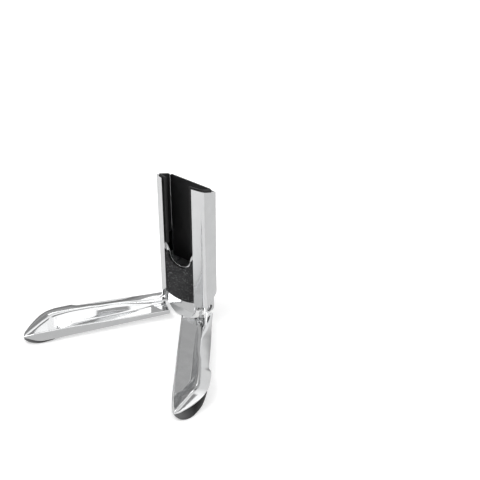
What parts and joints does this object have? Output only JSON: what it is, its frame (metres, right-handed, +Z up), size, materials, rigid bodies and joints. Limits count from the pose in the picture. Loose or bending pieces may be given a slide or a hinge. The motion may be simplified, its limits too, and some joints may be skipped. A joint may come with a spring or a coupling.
{
  "type": "bike display stand",
  "caption": "Folding crank-arm display stand: a polished upright channel with lips, a notched front plate and rubber liners, on two splayed scoop-shaped folding legs.",
  "frame": {"origin": "centre of the small flat at the lower end of the front plate, the heel that stands on the floor, on the plane of symmetry", "axes": "+Z up, +X to the right leg's side across the channel, and -Y out of the slot, where the legs point; the floor is z = 0"},
  "size_m": [0.16, 0.1257, 0.1315],
  "materials": {
    "polished_steel": "mirror-polished stainless sheet with soft bends",
    "cast_alloy": "bead-blasted casting",
    "pin_steel": "turned steel",
    "nylon": "black nylon",
    "rubber": "matt black rubber",
    "textured_panel": "black plastic with a fine speckled grain"
  },
  "bodies": {
    "holder": {"holder_shell": "polished_steel", "front_plate": "polished_steel", "label_panel": "textured_panel", "liner_back": "rubber", "hinge_block": "cast_alloy", "right_liner": "rubber", "left_liner": "rubber", "right_plate_rivet": "pin_steel", "left_plate_rivet": "pin_steel", "right_back_rivet": "pin_steel", "left_back_rivet": "pin_steel", "right_pin": "pin_steel", "left_pin": "pin_steel", "right_pin_clip": "pin_steel", "left_pin_clip": "pin_steel", "right_washer_inner": "nylon", "left_washer_inner": "nylon", "right_washer_outer": "nylon", "left_washer_outer": "nylon"},
    "right_leg_body": {"right_leg": "polished_steel", "right_foot": "rubber"},
    "left_leg_body": {"left_leg": "polished_steel", "left_foot": "rubber"}
  },
  "joints": [
    {"name": "right_leg_fold", "type": "hinge", "parent": "holder", "child": "right_leg_body", "pos_m": [0.01662, 0.00169, 0.0148], "axis": [-0.8425, -0.5388, 0], "range_deg": [0, 80]},
    {"name": "left_leg_fold", "type": "hinge", "parent": "holder", "child": "left_leg_body", "pos_m": [-0.01662, 0.00169, 0.0148], "axis": [-0.8425, 0.5388, 0], "range_deg": [0, 80]}
  ]
}
